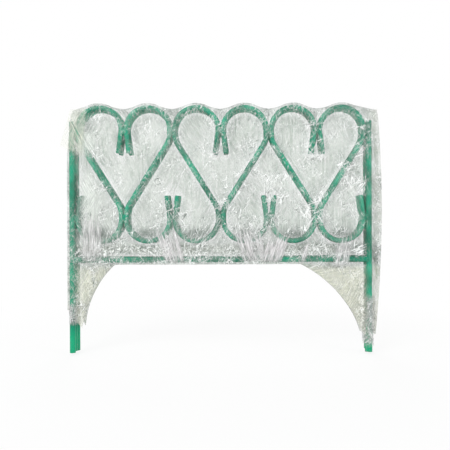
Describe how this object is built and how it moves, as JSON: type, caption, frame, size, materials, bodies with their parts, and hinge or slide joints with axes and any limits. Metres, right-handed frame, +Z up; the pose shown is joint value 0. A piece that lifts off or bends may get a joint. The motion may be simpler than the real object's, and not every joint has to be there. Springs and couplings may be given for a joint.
{
  "type": "garden edging fence, stacked sections wrapped in stretch film",
  "caption": "Garden edging fence sections of bent green tube, hearts and scrolls between two posts over a lower rail, stacked face to face and wrapped in crinkled clear film.",
  "frame": {"origin": "middle of the front section's left foot, in the plane of the foot's flat end", "axes": "+X along the fence to the right as seen from the front, +Y back through the stack, +Z up along the posts"},
  "size_m": [0.6656, 0.0427, 0.5185],
  "materials": {
    "green_enamel": "glossy green enamel on thin-walled steel tube, darker in its shade side",
    "stretch_film": "clear polyethylene stretch film, crinkled, with milky streaks and bright creases"
  },
  "bodies": {
    "root": {"back_even_scrolls": "green_enamel", "back_left_post": "green_enamel", "back_odd_scrolls": "green_enamel", "back_rail": "green_enamel", "back_right_post": "green_enamel", "film_arch_band": "stretch_film", "film_back": "stretch_film", "film_front": "stretch_film", "film_left_band": "stretch_film", "film_right_band": "stretch_film", "film_top_band": "stretch_film", "front_even_scrolls": "green_enamel", "front_left_post": "green_enamel", "front_odd_scrolls": "green_enamel", "front_rail": "green_enamel", "front_right_post": "green_enamel", "middle_even_scrolls": "green_enamel", "middle_left_post": "green_enamel", "middle_odd_scrolls": "green_enamel", "middle_rail": "green_enamel", "middle_right_post": "green_enamel"}
  },
  "joints": []
}
